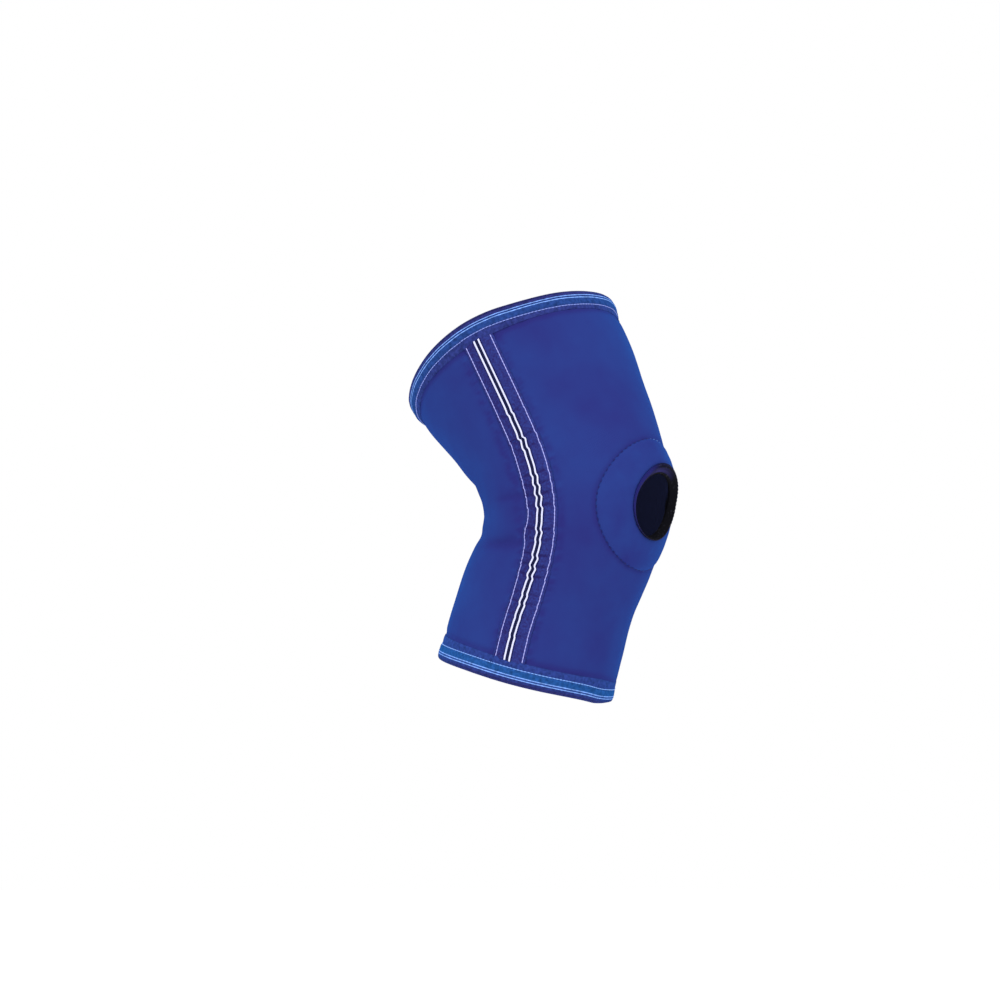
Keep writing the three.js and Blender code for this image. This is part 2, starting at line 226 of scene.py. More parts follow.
def raised(height, angle, rise):
    """Points above the outer surface, or below it for a negative rise."""
    return outer_point(height, angle) + outward(height, angle) * np.asarray(rise)[..., None]


def length_per_degree(height, angle):
    """Length over the surface for one degree round it."""
    return np.linalg.norm(outer_point(height, angle + 0.5) - outer_point(height, angle - 0.5), axis=-1)


knee_girth = 2 * math.pi * math.sqrt((KNEE_DEPTH ** 2 + KNEE_WIDTH ** 2) / 8)
print(f"the sleeve is about {knee_girth * 100:.0f} cm round at the bend")

# %% [markdown]
# ## The flare of the upper rim
# The last centimetre of the upper rim leans outwards, most at the back, where it is the least stretched,
# and a little at the front. We add it as a rise over the smooth surface, so that the shell and its tape
# share it.

# %% Flare of the upper rim
BACK_FLARE, BACK_FLARE_ANGLES = 2.3 * MM, (115, 155)
FRONT_FLARE, FRONT_FLARE_ANGLES = 1.2 * MM, (25, 52)
FLARE_FROM_RIM = (12.4 * MM, 3.4 * MM)


def rim_flare(height, angle):
    """How far the upper rim leans outwards, at the back and a little at the front."""
    from_front = np.abs(angle)
    back = BACK_FLARE * smooth_step(from_front, *BACK_FLARE_ANGLES)
    front = FRONT_FLARE * (1 - smooth_step(from_front, *FRONT_FLARE_ANGLES))
    start, end = (THIGH_LENGTH - distance for distance in FLARE_FROM_RIM)
    return (back + front) * smooth_step(height, start, end)


print(f"the upper rim leans out by {BACK_FLARE / MM} mm at the back")

# %% [markdown]
# ## Places round the opening
# The padded ring and the tape round the opening are circles when you look from the front.
# To put a circle on the curved surface we need the reverse rule: which height and angle are seen at a
# given y and z. A first guess, corrected a few times by the slope of the surface, finds them.

# %% Circles seen from the front
OPENING_MIDDLE, PAD_MIDDLE = 2.8 * MM, 1.2 * MM
PAD_RADIUS, CUT_RADIUS = 43 * MM, 25.25 * MM
# The opening is lower than wide by a share, and its edge is tilted outwards, most at one turn
LOWER, TILT, TILT_TURN = 0.035, 1.7 * MM, math.radians(72)

# How the opening departs from a circle, in millimetres, by the turn from its inner side upwards
OPENING_OUTLINE = named_rows("place wider lift", [
    (0, 0.0, 0.4),
    (35, 0.0, 1.3),
    (70, 0.0, 0.8),
    (100, -0.5, 0.2),
    (135, -1.6, 0.0),
    (180, -1.2, 0.0),
    (225, -0.1, 0.0),
    (270, 0.6, 0.0),
    (320, 0.0, 0.0),
    (360, 0.0, 0.4),
])
opening_wider = smooth_column(OPENING_OUTLINE, "wider")
opening_lift = smooth_column(OPENING_OUTLINE, "lift")


def place_from_front(y, z):
    """Height and angle of the surface where it is seen from the front at y and z."""
    passes, step = 8, 0.1
    height = np.array(z, float)
    angle = np.degrees(np.arctan(-2 * y / KNEE_WIDTH))
    for _ in range(passes):
        here = outer_point(height, angle)
        along = (outer_point(height + step * MM, angle) - here) / (step * MM)
        around = (outer_point(height, angle + step) - here) / step
        miss_y, miss_z = y - here[..., 1], z - here[..., 2]
        scale = along[..., 1] * around[..., 2] - around[..., 1] * along[..., 2]
        height = height + (miss_y * around[..., 2] - around[..., 1] * miss_z) / scale
        angle = angle + (along[..., 1] * miss_z - miss_y * along[..., 2]) / scale
    return height, angle


def ring_point(middle, radius, turn, rise):
    """Points on a circle seen from the front, raised above the outer surface.

    Near the opening the circle is a little lower than wide and takes the opening's outline and tilt.
    """
    near = np.clip((PAD_RADIUS - radius) / (PAD_RADIUS - CUT_RADIUS), 0, 1)
    degrees = np.degrees(turn) % 360
    radius = radius + near * opening_wider(degrees) * MM
    up = (1 - LOWER * near) * radius * np.sin(turn)
    height, angle = place_from_front(radius * np.cos(turn), middle + up)
    tilt = TILT * near * np.cos(turn - TILT_TURN) + near ** 2 * opening_lift(degrees) * MM
    return raised(height, angle, rise + tilt)


print(f"opening {2 * CUT_RADIUS / MM:.1f} mm across in a ring of {2 * PAD_RADIUS / MM:.0f} mm")

# %% [markdown]
# ## From flat cloth to a piece
# Five small helpers do the sewing-room work. The first writes each corner's flat place into a UV map, in
# metres, so that a weave drawn on it keeps its real size, and the second cuts a flat grid of cloth with
# such a map. The third moves all points of a piece by a rule, and can store how little light each point
# gets in an attribute that the finish reads: a fold under a millimetre deep is too shallow for the soft
# light to darken it by itself. The fourth joins the ends of a round piece. The fifth makes an object of
# it and gives it its thickness with a Solidify modifier, which also closes the cut edges.

# %% Cut, shape and finish a piece
FLAT_MAP, SHADE = "flat_cloth", "fold_shade"
SHARP_EDGE = math.radians(50)
SAME_PLACE = 0.01 * MM


def lay_map(cloth, plane):
    """Writes two coordinates of each corner's point, such as "xy", to the piece's UV map."""
    maps = cloth.loops.layers.uv
    flat = maps.get(FLAT_MAP) or maps.new(FLAT_MAP)
    for face in cloth.faces:
        for corner in face.loops:
            corner[flat].uv = getattr(corner.vert.co, plane)


def cut_cloth(x_range, y_range, cell):
    """Flat grid of cloth, with its flat places kept as a UV map in metres."""
    cloth = bmesh.new()
    size = (x_range[1] - x_range[0], y_range[1] - y_range[0])
    bmesh.ops.create_grid(
        cloth, x_segments=round(size[0] / cell[0]), y_segments=round(size[1] / cell[1]), size=0.5)
    bmesh.ops.scale(cloth, vec=(size[0], size[1], 1), verts=cloth.verts)
    middle = ((x_range[0] + x_range[1]) / 2, (y_range[0] + y_range[1]) / 2, 0)
    bmesh.ops.translate(cloth, vec=middle, verts=cloth.verts)
    lay_map(cloth, "xy")
    return cloth


def shape_cloth(cloth, rule, shade=None):
    """Moves every point of a flat piece to where the rule puts it, and keeps how shaded it lies."""
    x, y, _ = np.array([vertex.co for vertex in cloth.verts]).T
    if shade:
        layer = cloth.verts.layers.float.new(SHADE)
        for vertex, value in zip(cloth.verts, shade(x, y)):
            vertex[layer] = value
    for vertex, point in zip(cloth.verts, rule(x, y)):
        vertex.co = point


def close_seam(cloth):
    """Joins the ends of a piece that goes all the way round."""
    bmesh.ops.remove_doubles(cloth, verts=cloth.verts, dist=SAME_PLACE)


def finish_piece(cloth, name, finishes, replaces=None, thickness=0, edge=0):
    """Makes an object of a piece, with its cloth's thickness and softened edges.

    The first finish is outside. Where there is a second one, it is inside and on the cut edges.
    """
    mesh = bpy.data.meshes.new(name)
    cloth.to_mesh(mesh)
    cloth.free()
    mesh.shade_smooth()
    for finish in finishes:
        mesh.materials.append(finish)
    last = len(finishes) - 1
    piece = bpy.data.objects.new(name, mesh)
    bpy.context.scene.collection.objects.link(piece)
    if thickness:
        wall = piece.modifiers.new("thickness", "SOLIDIFY")
        wall.thickness = thickness
        wall.offset = -1
        wall.use_quality_normals = True
        wall.material_offset = last
        wall.material_offset_rim = last
    if edge:
        soft = piece.modifiers.new("soft edge", "BEVEL")
        soft.width = edge
        soft.segments = 2
        soft.limit_method = "ANGLE"
        soft.angle_limit = SHARP_EDGE
    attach(piece, "root")
    if replaces:
        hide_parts(replaces)
    print(f"{name}: {len(mesh.polygons)} faces")
    return piece

# %% [markdown]
# ## Materials: one helper and one colour rule
# All finishes here are made of nodes. One helper adds a node with its settings and links, so that a
# material reads like a recipe. It calls a smaller one that sets or links inputs, which also serves the
# shader and the world. One function turns the sRGB colours that we give into the linear light that
# the renderer works in.

# %% Node helper and colours
def linear(hex_colour):
    """Linear colour for an sRGB hex value."""
    channels = [int(hex_colour[i:i + 2], 16) / 255 for i in (1, 3, 5)]
    return [c / 12.92 if c <= 0.04045 else ((c + 0.055) / 1.055) ** 2.4 for c in channels] + [1]


def set_inputs(node, inputs):
    """Sets inputs of a node, or links them where the value is another node's output."""
    for key, value in inputs.items():
        if isinstance(value, bpy.types.NodeSocket):
            node.id_data.links.new(value, node.inputs[key])
        else:
            node.inputs[key].default_value = value


def add_node(tree, kind, inputs=None, **settings):
    """Adds a node with its settings, and sets or links its inputs."""
    node = tree.nodes.new("ShaderNode" + kind)
    for name, value in settings.items():
        setattr(node, name, value)
    set_inputs(node, inputs or {})
    return node.outputs[0]


def new_material(name, **values):
    """Material with a Principled shader. The values are its inputs, with _ for a space."""
    material = bpy.data.materials.new(name)
    material.use_nodes = True
    shader = material.node_tree.nodes["Principled BSDF"]
    set_inputs(shader, {key.replace("_", " "): value for key, value in values.items()})
    return material, material.node_tree, shader


print("white as linear light:", linear("#ffffff"))

# %% [markdown]
# ## Light, floor and background
# The photo is a packshot: white all round and almost no shadow. A white world lights the sleeve evenly
# from everywhere, and a wide soft sun from above, on the camera's side, gives it form. The floor is a
# wide white disc far below, since the sleeve is shown upright, as it is worn, and not lying down.

# %% Light, floor and background
WHITE = linear("#ffffff")
WORLD_STRENGTH = 1.0
SUN_STRENGTH, SUN_WIDTH = 1.6, math.radians(35)
TOWARDS_SUN = Vector((0.35, -0.55, 1.0))
FLOOR_DROP, FLOOR_RADIUS, FLOOR_CORNERS = 0.5, 12, 96

scene = bpy.context.scene
scene.view_settings.view_transform = "Standard"
world = bpy.data.worlds.new("white studio")
world.use_nodes = True
set_inputs(world.node_tree.nodes["Background"], {"Color": WHITE, "Strength": WORLD_STRENGTH})
scene.world = world

sun = bpy.data.lights.new("soft light from above", "SUN")
sun.energy = SUN_STRENGTH
sun.angle = SUN_WIDTH
sun_holder = bpy.data.objects.new("soft light from above", sun)
sun_holder.rotation_euler = TOWARDS_SUN.to_track_quat("Z", "Y").to_euler()
scene.collection.objects.link(sun_holder)

disc = bmesh.new()
bmesh.ops.create_circle(disc, cap_ends=True, segments=FLOOR_CORNERS, radius=FLOOR_RADIUS)
bmesh.ops.translate(disc, vec=(0, 0, -FLOOR_DROP), verts=disc.verts)
floor_mesh = bpy.data.meshes.new("floor")
disc.to_mesh(floor_mesh)
disc.free()
# A matt painted board looks plain white, without any shine
floor_paint, _, _ = new_material(
    "matt white painted board of the studio floor", Base_Color=WHITE, Roughness=1, Specular_IOR_Level=0)
floor_mesh.materials.append(floor_paint)
floor = bpy.data.objects.new("floor", floor_mesh)
scene.collection.objects.link(floor)
print(f"floor {FLOOR_DROP} m below the origin, sun of strength {SUN_STRENGTH}")

# %% [markdown]
# ## Fold lines, and a soft unevenness
# A tape folded over an edge is a line of straight and bent lengths seen from its end, so we describe it
# like that and add up its heading. Real cloth is never perfectly even either. A sum of a few waves in
# space, with chosen random directions, gives slow bumps that meet again all the way round the tube.

# %% Fold lines and unevenness
FOLD_STEPS, WAVES = 2000, 14


def fold_line(lengths, turns, distances):
    """Places along a folded section. Each length runs on straight or bends by its turn, in degrees."""
    ends = np.cumsum([0, *lengths])
    headings = np.radians(np.cumsum([0, *turns]))
    fine = np.linspace(0, ends[-1], FOLD_STEPS + 1)
    step = fine[1]
    heading = np.interp((fine[1:] + fine[:-1]) / 2, ends, headings)
    along = np.concatenate([[0], np.cumsum(np.cos(heading) * step)])
    down = np.concatenate([[0], np.cumsum(np.sin(heading) * step)])
    return np.interp(distances, fine, along), np.interp(distances, fine, down)


def unevenness(points, size, seed):
    """Smooth random height from about -1 to 1, with bumps of about that size."""
    random = np.random.default_rng(seed)
    total = np.zeros(points.shape[:-1])
    for _ in range(WAVES):
        direction = random.normal(size=3)
        direction *= random.uniform(0.6, 1.5) * 2 * math.pi / size / np.linalg.norm(direction)
        total += np.sin(points @ direction + random.uniform(0, 2 * math.pi))
    return total / math.sqrt(WAVES)


def bump(values, middle, breadth):
    """Smooth bump of height 1 round a middle value."""
    return np.exp(-((values - middle) / breadth) ** 2)


print(f"folds drawn in {FOLD_STEPS} steps, unevenness from {WAVES} waves")

# %% [markdown]
# ## The jersey
# The shell is foam rubber faced with a knitted nylon jersey. Its rows of small V-shaped loops are drawn
# as a bump on the flat cloth, a few times as coarse as in real life, because real rows of 0.4 mm would be
# smaller than a pixel. The colour fades between a deep and a light blue. It is lighter on top of the
# loops, as painted light on the knit. It is lighter in soft random clouds, which are painted light on the
# shell and the ring, and the spots of its gathered loops on the side strip. It is darker where the stored
# painted shade says that it lies in a fold or beside a seam. Nylon fuzz catches light at grazing angles,
# and the sheen stands for it.

# %% Places that a finish reads
KNIT_ARM, KNIT_ROW, LOOP_DEPTH = 1.0 * MM, 0.8 * MM, 0.15 * MM
# How light the cloth is outside the painted shade of folds, and how much painted light the loop tops add
OPEN_CLOTH, LOOP_TOPS = 0.35, 0.3
AZURE_FUZZ = linear("#0082e8")


def flat_place(tree):
    """The two flat places of the cloth, in metres, from its UV map."""
    parts = add_node(tree, "SeparateXYZ", {0: add_node(tree, "UVMap", uv_map=FLAT_MAP)}).node
    return parts.outputs["X"], parts.outputs["Y"]


def object_place(tree):
    """The place on the object, in metres, and its separate y and z."""
    place = add_node(tree, "TexCoord").node.outputs["Object"]
    parts = add_node(tree, "SeparateXYZ", {0: place}).node
    return place, parts.outputs["Y"], parts.outputs["Z"]


def knit_height(tree):
    """Height of rows of V-shaped loops, from 0 to 1."""
    across, along = flat_place(tree)
    column = add_node(tree, "Math", {0: across, 1: 1 / KNIT_ARM}, operation="MULTIPLY")
    arm = add_node(tree, "Math", {0: column, 1: 1.0}, operation="PINGPONG")
    row = add_node(tree, "Math", {0: along, 1: 1 / KNIT_ROW, 2: arm}, operation="MULTIPLY_ADD")
    loops = add_node(tree, "Math", {0: row, 1: 0.5}, operation="PINGPONG")
    return add_node(tree, "Math", {0: loops, 1: 2.0}, operation="MULTIPLY")


print(f"jersey loops drawn with arms {KNIT_ARM / MM} mm wide, in rows of {KNIT_ROW / MM} mm")

# %% Knitted jersey and lining
def jersey(name, deep, light, cloud, contrast):
    """Knitted jersey of one colour, lighter and darker in random clouds of that size and contrast, with
    painted light on its loops and the painted shade that the piece stores.
    """
    material, tree, shader = new_material(
        name, Roughness=0.9, Sheen_Weight=0.3, Sheen_Roughness=0.45, Sheen_Tint=AZURE_FUZZ,
        Specular_IOR_Level=0.0)
    height = knit_height(tree)
    place, _, _ = object_place(tree)
    # Painted light: random clouds and the loop tops lighten the colour. Painted shade: the stored fold
    # shade darkens it
    cloudy = add_node(tree, "TexNoise", {"Vector": place, "Scale": 1 / cloud, "Detail": 3.0})
    cloudy = add_node(tree, "Math", {0: cloudy, 1: 0.5}, operation="SUBTRACT")
    folds = add_node(tree, "Attribute", attribute_name=SHADE).node.outputs["Fac"]
    open_cloth = add_node(tree, "Math", {0: OPEN_CLOTH, 1: folds}, operation="SUBTRACT")
    shade = add_node(tree, "Math", {0: cloudy, 1: contrast, 2: open_cloth}, operation="MULTIPLY_ADD")
    fade = add_node(
        tree, "Math", {0: height, 1: LOOP_TOPS, 2: shade}, operation="MULTIPLY_ADD", use_clamp=True)
    dye = add_node(tree, "Mix", {0: fade, 6: linear(deep), 7: linear(light)}, data_type="RGBA")
    relief = add_node(tree, "Bump", {"Height": height, "Strength": 0.5, "Distance": LOOP_DEPTH})
    set_inputs(shader, {"Base Color": dye.node.outputs[2], "Normal": relief})
    return material


# Jersey glued to foam rubber looks matt and deep, with slow random clouds of painted light
shell_jersey = jersey("knitted nylon jersey on foam rubber", "#28286b", "#273a7e", 45 * MM, 1.5)
# The ring's jersey is a little lighter than the shell's, with smaller clouds of painted light
pad_jersey = jersey("knitted nylon jersey on a foam ring", "#27286c", "#273c80", 30 * MM, 1.7)
# Gathered jersey crowds its loops, which gives a dark violet cloth with small light spots
strip_jersey = jersey("knitted nylon jersey over the side seam", "#28225a", "#2f3b80", 1.3 * MM, 2.2)
# Smooth unlit nylon inside gives the eye only a plain dark blue
lining, _, _ = new_material(
    "plain nylon lining", Base_Color=linear("#2b3050"), Roughness=0.9, Specular_IOR_Level=0.0)

# %% [markdown]
# ## The rim tape
# The rim tape is a woven elastic. Its stripes are warp threads of other colours that run the whole
# length of the tape, so a colour ramp across the flat tape draws them exactly. The ramp reads the
# tape's own flat place, and so the stripes stay in line all the way round both rims. Each rim has a
# finish of its own, because the light falls differently on the two rims. The same tape is painted more
# violet on the upper rim and more azure on the lower one. Its fine ribs are drawn as a bump, about twice
# as coarse as the real ones.

# %% Stripes and weave of a tape
RIM_TAPE_WIDTH, RIM_TURN_IN, RIM_FOLD = 15.4 * MM, 11 * MM, 2.7 * MM
RIM_LENGTHS = [RIM_TAPE_WIDTH - RIM_FOLD, math.pi * RIM_FOLD, RIM_TURN_IN - RIM_FOLD]
RIM_TURNS = [0, 180, 0]
RIM_FLAT = sum(RIM_LENGTHS)
UNEVEN_THREADS, RIB_DEPTH = 2.2 * MM, 0.2 * MM


def striped(tree, value, span, bands):
    """Colours across a tape. Each band is where it starts, in metres, and its sRGB colour."""
    share = add_node(tree, "Math", {0: value, 1: span}, operation="DIVIDE")
    ramp = add_node(tree, "ValToRGB", {"Fac": share}).node
    ramp.color_ramp.interpolation = "CONSTANT"
    steps = ramp.color_ramp.elements
    while len(steps) < len(bands):
        steps.new(1)
    for step, (start, colour) in zip(steps, bands):
        step.position = start / span
        step.color = linear(colour)
    return ramp.outputs["Color"]


def woven_tape(name, span, bands, rib, uneven, **values):
    """Woven tape with stripes along it, fine ribs across it and some uneven light and dark threads."""
    material, tree, shader = new_material(name, **values)
    across, along = flat_place(tree)
    place, _, _ = object_place(tree)
    threads = add_node(tree, "TexNoise", {"Vector": place, "Scale": 1 / UNEVEN_THREADS, "Detail": 2.0})
    bright = add_node(
        tree, "Math", {0: threads, 1: 2 * uneven, 2: 1 - uneven}, operation="MULTIPLY_ADD")
    stripes = striped(tree, along, span, bands)
    dye = add_node(tree, "HueSaturation", {"Value": bright, "Color": stripes})
    picks = add_node(tree, "Math", {0: across, 1: 1 / rib}, operation="MULTIPLY")
    picks = add_node(tree, "Math", {0: picks, 1: 0.5}, operation="PINGPONG")
    relief = add_node(tree, "Bump", {"Height": picks, "Strength": 0.5, "Distance": RIB_DEPTH})
    set_inputs(shader, {"Base Color": dye, "Normal": relief})
    return material


print(f"the rim tape is {RIM_FLAT / MM:.1f} mm wide when it is flat")

# %% Woven rim tapes
RIM_STITCH, BESIDE_STITCH, RIM_EDGE = 10.6 * MM, 0.4 * MM, 2.2 * MM
RIM_LINES, RIM_LINE_WIDTH = (4.35 * MM, 5.95 * MM), 0.6 * MM
RIM_RIB, RIM_UNEVEN = 0.8 * MM, 0.8


def from_rim(distance):
    """Place across the flat tape for a distance from the rim, seen from outside."""
    return RIM_TAPE_WIDTH - distance


def rim_tape(name, sewn, medium, between, outer, edge):
    """The rim tape's stripes, from its sewn edge to the fold over the rim."""
    bands = [(0, sewn), (from_rim(RIM_STITCH - BESIDE_STITCH), medium)]
    for line, beyond in zip(RIM_LINES[::-1], (between, outer)):
        bands.append((from_rim(line + RIM_LINE_WIDTH / 2), "#769de2"))
        bands.append((from_rim(line - RIM_LINE_WIDTH / 2), beyond))
    bands.append((from_rim(RIM_EDGE), edge))
    return woven_tape(
        name, RIM_FLAT, bands, RIM_RIB, RIM_UNEVEN,
        Roughness=0.85, Sheen_Weight=0.2, Sheen_Tint=linear("#1f88f0"), Specular_IOR_Level=0.0)


# Woven polyester over rubber threads looks matt and mottled, with two pale cords in the middle blue
# The two finishes are lit copies of one tape: its stripes are painted in the violet light of the upper
# rim and the azure light of the lower one
thigh_tape = rim_tape(
    "woven elastic tape of the thigh rim", "#2a326e", "#233c78", "#1f3472", "#292c66", "#231f4c")
shin_tape = rim_tape(
    "woven elastic tape of the shin rim", "#283878", "#1f4884", "#2a4282", "#26306c", "#28275a")
print("pale cords at", " and ".join(f"{line / MM:.2f}" for line in RIM_LINES), "mm from the rim")

# %% [markdown]
# ## The black binding
# The opening is bound with a satin tape, folded round the raw edge. It is black, but its face takes an
# indigo cast where it catches light, and gets darker down into the opening. Our soft white light alone
# would leave it plain black. So bands along the tape paint in the cast as painted light and the darkening
# as painted shade, and masks over the object's y and z say where they show. Light specks of painted sheen
# show where the satin's grain catches light.

# %% Satin black binding
OPENING_LENGTHS = [0.5 * MM, 1.6 * MM, 4.3 * MM, 2.2 * MM, 7.5 * MM]
OPENING_TURNS = [0, 70, 0, 110, 0]
OPENING_FLAT = sum(OPENING_LENGTHS)
CAST_SLOPE, CAST_RANGE, OUTER_RANGE = -0.7, (4 * MM, -22 * MM), (-4 * MM, -14 * MM)
SATIN_GRAIN_SIZE, SPECK_RANGE, SATIN_DEPTH = 1.6 * MM, (0.60, 0.75), 0.2 * MM
# The bands' indigo is painted light, and their deepest black is painted shade
TOP_BANDS = [(0, "#090a22"), (1.6 * MM, "#1e1c48"), (3.2 * MM, "#2a2660"), (5.0 * MM, "#07070e")]
OUTER_BANDS = [(0, "#1e1e5e"), (1.6 * MM, "#191848"), (2.6 * MM, "#0d0b28"), (5.0 * MM, "#07070e")]
DEEP_BLACK, PAINTED_SHEEN_SPECK = linear("#09090f"), linear("#2e2e38")


def binding_tape(name):
    """Satin binding, black with a painted indigo cast where it faces up, and with small specks of painted
    sheen.
    """
    material, tree, shader = new_material(name, Roughness=0.6, Specular_IOR_Level=0.03)
    place, sideways, upwards = object_place(tree)
    _, along = flat_place(tree)
    high = add_node(tree, "Math", {0: upwards, 1: CAST_SLOPE, 2: sideways}, operation="MULTIPLY_ADD")
    # The satin's grain noise gives its bump, and also the mask for light specks of painted sheen
    satin_grain = add_node(tree, "TexNoise", {"Vector": place, "Scale": 1 / SATIN_GRAIN_SIZE, "Detail": 3.0})
    cast, outer, speck = (
        add_node(tree, "MapRange", {"Value": value, "From Min": low, "From Max": full})
        for value, (low, full) in ((high, CAST_RANGE), (sideways, OUTER_RANGE), (satin_grain, SPECK_RANGE)))
    inner = striped(tree, along, OPENING_FLAT, TOP_BANDS)
    front = striped(tree, along, OPENING_FLAT, OUTER_BANDS)
    colour = add_node(tree, "Mix", {0: outer, 6: inner, 7: front}, data_type="RGBA").node.outputs[2]
    # Painted shade: deep black where the slanted mask over y and z says that the tape gets little light
    colour = add_node(tree, "Mix", {0: cast, 6: DEEP_BLACK, 7: colour}, data_type="RGBA").node.outputs[2]
    colour = add_node(tree, "Mix", {0: speck, 6: colour, 7: PAINTED_SHEEN_SPECK}, data_type="RGBA").node.outputs[2]
    relief = add_node(tree, "Bump", {"Height": satin_grain, "Strength": 0.4, "Distance": SATIN_DEPTH})
    set_inputs(shader, {"Base Color": colour, "Normal": relief})
    return material


# Satin woven from black polyester looks almost without form, with a faint gloss and a cold cast of
# painted light
black_tape = binding_tape("satin black binding tape")
print(f"the black tape is {OPENING_FLAT / MM:.1f} mm wide when it is flat")

# %% [markdown]
# ## The ribbon and the threads
# The ribbon is woven too: two raised white cords with a near-black middle and a narrow blue border,
# which is partly its own edge and partly painted shade beside the cords. Its bands come from the same
# function as the rim tape's, with ribs about as coarse and hardly any unevenness, because white threads
# hide it. Sewing thread is twisted polyester. A stitch is too small to show the twist, so each thread is
# one colour with a faint gloss, and only the ring's seam gets a painted azure glint where it crosses the
# light.

# %% Ribbon and sewing threads
RIBBON_WIDTH, RIBBON_RIB = 5.8 * MM, 1.72 * MM
RIBBON_EDGE_AND_SHADE, RIBBON_CORD_END = 0.65 * MM, 1.8 * MM
# Slope and heights of the line above which the ring seam's thread gets its painted glint
GLINT_SLOPE, GLINT_RANGE = 0.5, (40 * MM, 46 * MM)
# The dark blue band at each side is partly the ribbon's own edge and partly painted shade beside its
# raised cords
ribbon_bands = [
    (0, "#191b4c"), (RIBBON_EDGE_AND_SHADE, "#d2d4f2"), (RIBBON_CORD_END, "#15183a"),
    (RIBBON_WIDTH - RIBBON_CORD_END, "#d2d4f2"), (RIBBON_WIDTH - RIBBON_EDGE_AND_SHADE, "#191b4c"),
]
# Bleached polyester cords look white and dry beside a middle of black warp threads
ribbon_weave = woven_tape(
    "ribbon with white cords and a black middle", RIBBON_WIDTH, ribbon_bands, 0.9 * MM, 0.1,
    Roughness=0.8, Specular_IOR_Level=0.05)


def thread(name, colour):
    """Twisted polyester sewing thread of one colour."""
    return new_material(name, Base_Color=linear(colour), Roughness=0.6, Specular_IOR_Level=0.1)[0]


def seam_thread(name):
    """Indigo thread with a painted azure glint high on the ring's inner side, where it lies across the
    light.
    """
    material, tree, shader = new_material(name, Roughness=0.5, Specular_IOR_Level=0.1)
    _, sideways, upwards = object_place(tree)
    # Painted highlight: above a slanted line over y and z, the thread's colour turns azure
    high = add_node(tree, "Math", {0: sideways, 1: GLINT_SLOPE, 2: upwards}, operation="MULTIPLY_ADD")
    low, full = GLINT_RANGE
    glint = add_node(tree, "MapRange", {"Value": high, "From Min": low, "From Max": full})
    colours = {0: glint, 6: linear("#1c1c5c"), 7: linear("#4a78c4")}
    set_inputs(shader, {"Base Color": add_node(tree, "Mix", colours, data_type="RGBA").node.outputs[2]})
    return material


# Pale thread on blue tape reads as a fine light line, dark thread on dark cloth only as a soft edge
# The two rim threads are one thread, painted in the light of each rim
thigh_thread = thread("rim thread painted in the upper rim's light", "#8294dc")
shin_thread = thread("rim thread painted in the lower rim's light", "#7ba8ee")
lilac_thread = thread("lilac sewing thread", "#a3a6e6")
indigo_thread = thread("indigo sewing thread", "#1a1a55")
# The ring seam's thread has a painted azure glint high on the ring's inner side
ring_seam_thread_with_painted_glint = seam_thread("ring seam thread with a painted azure glint")
print(f"ribbon of {RIBBON_WIDTH / MM} mm with cords {2 * RIBBON_RIB / MM:.2f} mm apart")

# %% [markdown]
# ## Uneven rims and strips
# Nobody sews a rim as even as a formula. The upper rim dips at the front and at the back, and the tape of
# the lower rim has slipped down at its front inner corner. Short tables keep these departures, and the
# shell, the tapes and their stitches all read them, so they go on fitting each other.

# %% Lines of the rims and of the side strips
# How far each rim stands out past its even line, and how far the whole lower tape has slipped down, in
# millimetres, by the angle from the front
RIM_OUTLINE = named_rows("place top low slip", [
    (-180, -3.4, 1.4, 0.0),
    (-150, -3.4, 1.4, 0.0),
    (-125, -1.2, 0.6, 0.3),
    (-90, 0.6, 0.0, 1.2),
    (-60, 0.3, 0.0, 2.2),
    (-32, 0.0, 0.2, 2.5),
    (-18, -0.1, 0.4, 2.0),
    (-7, -0.7, 1.1, 1.0),
    (2, -1.3, 1.4, 0.3),
    (8, -1.7, 1.0, 0.1),
    (15, -1.9, 0.5, 0.0),
    (30, -1.9, 0.0, 0.0),
    (55, -1.1, 0.0, 0.0),
    (70, 0.3, 0.0, 0.0),
    (88, 1.0, 0.0, 0.0),
    (108, 0.2, 0.1, 0.0),
    (125, -1.2, 0.6, 0.0),
    (150, -3.4, 1.4, 0.0),
    (180, -3.4, 1.4, 0.0),
])
# The angle from the front at which each side strip runs down the sleeve
STRIP_PATH = named_rows("place angle", [
    (-1.00, 78.2),
    (-0.70, 80.1),
    (-0.50, 78.7),
    (-0.30, 78.7),
    (-0.10, 79.4),
    (0.10, 80.4),
    (0.35, 81.2),
    (0.75, 81.7),
    (1.00, 81.9),
])
THIGH_SLIP, SLACK_ANGLES = 3.0 * MM, (120, 150)
slip = smooth_column(RIM_OUTLINE, "slip")
strip_angle = smooth_column(STRIP_PATH, "angle")


def shin_slip(angle):
    """How far the lower tape has slipped down, at an angle from -180 to 180 degrees."""
    return slip((angle + 180) % 360 - 180) * MM


def at_back(height, angle):
    """1 at the back of the upper rim, where the tape is slack and has slipped down, and 0 elsewhere."""
    return smooth_step(np.abs(angle), *SLACK_ANGLES) * (height > 0)


def across_strip(height, angle):
    """Distance from the middle line of the side strip, positive towards the back."""
    return (np.abs(angle) - strip_angle(place_at(height))) * length_per_degree(height, angle)


print(f"the lower tape has slipped by up to {max(row['slip'] for row in RIM_OUTLINE)} mm")

# %% [markdown]
# ## The shell
# The body of the sleeve is one sheet of foam rubber between two layers of jersey, closed by a seam. On
# the real one the seam lies under a side strip; here the ends of the flat piece meet at the back
# and are welded, since nothing shows there. The round hole is cut after the cloth is bent, because it
# is a circle from the front, and its edge is then moved onto the true circle.

